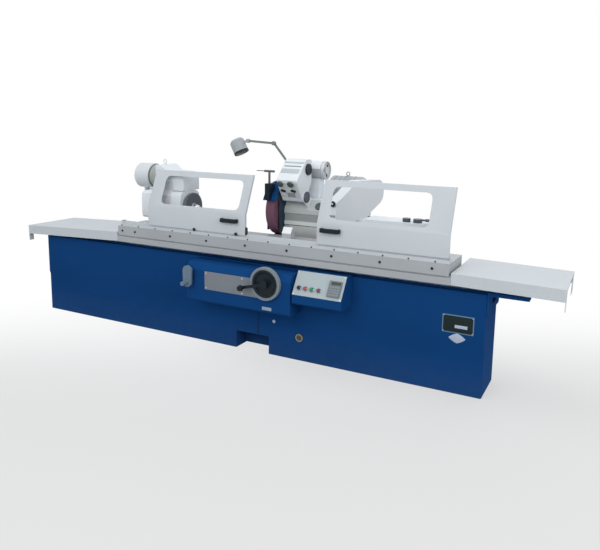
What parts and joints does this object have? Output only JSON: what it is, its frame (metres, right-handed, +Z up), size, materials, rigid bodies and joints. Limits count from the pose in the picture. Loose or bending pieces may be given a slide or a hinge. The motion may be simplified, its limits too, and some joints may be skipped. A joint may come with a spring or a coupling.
{
  "type": "cylindrical grinding machine",
  "caption": "Universal cylindrical grinder: long bed, sliding and swivelling table with workhead, tailstock and doors, and a cross-sliding wheelhead with a swing-down internal spindle.",
  "frame": {"origin": "on the floor, at the middle of the bed's length, straight under the line of centres", "axes": "+X along the table from the workhead to the tailstock, +Y from the operator towards the wheelhead, +Z up"},
  "size_m": [4.5968, 1.7866, 1.6262],
  "materials": {
    "blue_paint": "satin",
    "white_paint": "satin",
    "grey_paint": "satin",
    "bright_steel": "satin",
    "stainless_sheet": "satin",
    "dark_iron": "satin",
    "brass": "satin",
    "aluminium": "satin",
    "rubber": "matte",
    "abrasive": "matte",
    "black_plastic": "satin",
    "grey_plastic": "satin",
    "red_plastic": "gloss",
    "green_plastic": "gloss"
  },
  "bodies": {
    "machine": {"bed": "blue_paint", "rear_base": "blue_paint", "lower_cover": "stainless_sheet", "tray_support": "blue_paint", "table_cylinder": "bright_steel", "apron": "blue_paint", "apron_plate": "white_paint", "cross_dial": "white_paint", "console": "blue_paint", "control_panel": "white_paint", "keypad": "grey_plastic", "sight_glass": "brass"},
    "cross_handwheel": {"cross_wheel": "black_plastic"},
    "table_handcrank": {"table_crank": "white_paint"},
    "push_button_1": {"button_1": "black_plastic"},
    "push_button_2": {"button_2": "red_plastic"},
    "push_button_3": {"button_3": "green_plastic"},
    "push_button_4": {"button_4": "red_plastic"},
    "table": {"lower_table": "grey_paint", "piston_rod": "bright_steel", "tray_left": "white_paint", "tray_right": "white_paint"},
    "swivel_table": {"upper_table": "grey_paint", "door_rail": "white_paint", "dresser_post": "bright_steel", "workhead_body": "white_paint", "workhead_housing": "white_paint", "workhead_motor": "grey_paint", "tailstock_body": "white_paint"},
    "workhead_spindle": {"work_spindle": "bright_steel", "faceplate": "dark_iron"},
    "tailstock_quill": {"tail_quill": "bright_steel"},
    "tailstock_lever": {"quill_lever": "dark_iron"},
    "tailstock_clamp": {"quill_clamp": "dark_iron"},
    "left_door": {"door_left": "white_paint", "handle_left": "black_plastic"},
    "right_door": {"door_right": "white_paint", "handle_right": "black_plastic"},
    "wheelhead": {"wheelhead_saddle": "blue_paint", "wheelhead_casting": "white_paint", "pivot_pin": "dark_iron", "wheel_guard": "blue_paint", "coolant_valve": "black_plastic", "main_motor": "grey_paint", "drive_belts": "rubber", "belt_guard": "white_paint", "inner_motor": "white_paint", "lamp_post": "grey_paint"},
    "wheel": {"grinding_wheel": "abrasive", "wheel_flange": "dark_iron", "wheel_spindle": "bright_steel"},
    "drive_pulley": {"motor_pulley": "dark_iron"},
    "coolant_handle": {"valve_knob": "dark_iron"},
    "internal_attachment": {"inner_bracket": "white_paint", "bracket_plate": "grey_plastic"},
    "internal_spindle": {"inner_spindle": "dark_iron"},
    "internal_pulley": {"inner_drive_pulley": "aluminium"},
    "lamp_lower": {"lamp_lower_arm": "grey_paint"},
    "lamp_upper": {"lamp_upper_arm": "grey_paint"},
    "lamp_shade": {"lamp_head": "grey_paint"}
  },
  "joints": [
    {"name": "cross_handwheel_turn", "type": "hinge", "parent": "machine", "child": "cross_handwheel", "pos_m": [0.474, -0.36, 0.612], "axis": [0, -1, 0], "continuous": true},
    {"name": "table_handcrank_turn", "type": "hinge", "parent": "machine", "child": "table_handcrank", "pos_m": [-0.203, -0.36, 0.628], "axis": [0, -1, 0], "continuous": true},
    {"name": "push_button_1_press", "type": "slide", "parent": "machine", "child": "push_button_1", "axis": [0, 0.845, -0.5348], "range_m": [0, 0.005], "stiffness_N_per_m": 400, "springref_m": -0.002},
    {"name": "push_button_2_press", "type": "slide", "parent": "machine", "child": "push_button_2", "axis": [0, 0.845, -0.5348], "range_m": [0, 0.005], "stiffness_N_per_m": 400, "springref_m": -0.002},
    {"name": "push_button_3_press", "type": "slide", "parent": "machine", "child": "push_button_3", "axis": [0, 0.845, -0.5348], "range_m": [0, 0.005], "stiffness_N_per_m": 400, "springref_m": -0.002},
    {"name": "push_button_4_press", "type": "slide", "parent": "machine", "child": "push_button_4", "axis": [0, 0.845, -0.5348], "range_m": [0, 0.005], "stiffness_N_per_m": 400, "springref_m": -0.002},
    {"name": "table_slide", "type": "slide", "parent": "machine", "child": "table", "axis": [1, 0, 0], "range_m": [-0.65, 0.5]},
    {"name": "table_swivel", "type": "hinge", "parent": "table", "child": "swivel_table", "pos_m": [0.351, 0, 0.801], "axis": [0, 0, 1], "range_deg": [-3, 3]},
    {"name": "work_spindle_turn", "type": "hinge", "parent": "swivel_table", "child": "workhead_spindle", "pos_m": [-0.468, 0, 1.06], "axis": [1, 0, 0], "continuous": true},
    {"name": "quill_slide", "type": "slide", "parent": "swivel_table", "child": "tailstock_quill", "axis": [1, 0, 0], "range_m": [0, 0.035], "stiffness_N_per_m": 3000, "springref_m": -0.03},
    {"name": "quill_lever_turn", "type": "hinge", "parent": "swivel_table", "child": "tailstock_lever", "pos_m": [1.478, -0.06, 1.1003], "axis": [0, 0, 1], "range_deg": [0, 60]},
    {"name": "quill_clamp_turn", "type": "hinge", "parent": "swivel_table", "child": "tailstock_clamp", "pos_m": [1.4, -0.06, 1.1003], "axis": [0, 0, 1], "range_deg": [0, 90]},
    {"name": "left_door_slide", "type": "slide", "parent": "swivel_table", "child": "left_door", "axis": [1, 0, 0], "range_m": [-0.265, 0.285]},
    {"name": "right_door_slide", "type": "slide", "parent": "swivel_table", "child": "right_door", "axis": [1, 0, 0], "range_m": [-0.285, 0]},
    {"name": "wheelhead_slide", "type": "slide", "parent": "machine", "child": "wheelhead", "axis": [0, 1, 0], "range_m": [-0.065, 0.18]},
    {"name": "wheel_spin", "type": "hinge", "parent": "wheelhead", "child": "wheel", "pos_m": [0.25, 0.27, 1.06], "axis": [1, 0, 0], "continuous": true},
    {"name": "drive_pulley_spin", "type": "hinge", "parent": "wheelhead", "child": "drive_pulley", "pos_m": [0.741, 0.93, 1.175], "axis": [1, 0, 0], "continuous": true},
    {"name": "coolant_handle_turn", "type": "hinge", "parent": "wheelhead", "child": "coolant_handle", "pos_m": [0.245, 0.072, 1.2853], "axis": [0, 0, 1], "range_deg": [-90, 0]},
    {"name": "internal_attachment_swing", "type": "hinge", "parent": "wheelhead", "child": "internal_attachment", "pos_m": [0.415, 0.165, 1.185], "axis": [1, 0, 0], "range_deg": [0, 132]},
    {"name": "internal_spindle_spin", "type": "hinge", "parent": "internal_attachment", "child": "internal_spindle", "pos_m": [0.415, 0.215, 1.395], "axis": [1, 0, 0], "continuous": true},
    {"name": "internal_pulley_spin", "type": "hinge", "parent": "wheelhead", "child": "internal_pulley", "pos_m": [0.576, 0.39, 1.38], "axis": [1, 0, 0], "continuous": true},
    {"name": "lamp_base_tilt", "type": "hinge", "parent": "wheelhead", "child": "lamp_lower", "pos_m": [0.352, 0.3097, 1.345], "axis": [0, 1, 0], "range_deg": [-30, 40]},
    {"name": "lamp_elbow_bend", "type": "hinge", "parent": "lamp_lower", "child": "lamp_upper", "pos_m": [0.147, 0.2974, 1.585], "axis": [0, 1, 0], "range_deg": [-45, 60]},
    {"name": "lamp_head_tilt", "type": "hinge", "parent": "lamp_upper", "child": "lamp_shade", "pos_m": [-0.09, 0.2851, 1.598], "axis": [0, 1, 0], "range_deg": [-60, 60]}
  ],
  "couplings": [
    {"joint": "quill_lever_turn", "follows": "quill_slide", "rad_per_m": 29.9},
    {"joint": "drive_pulley_spin", "follows": "wheel_spin", "ratio": 0.875}
  ]
}
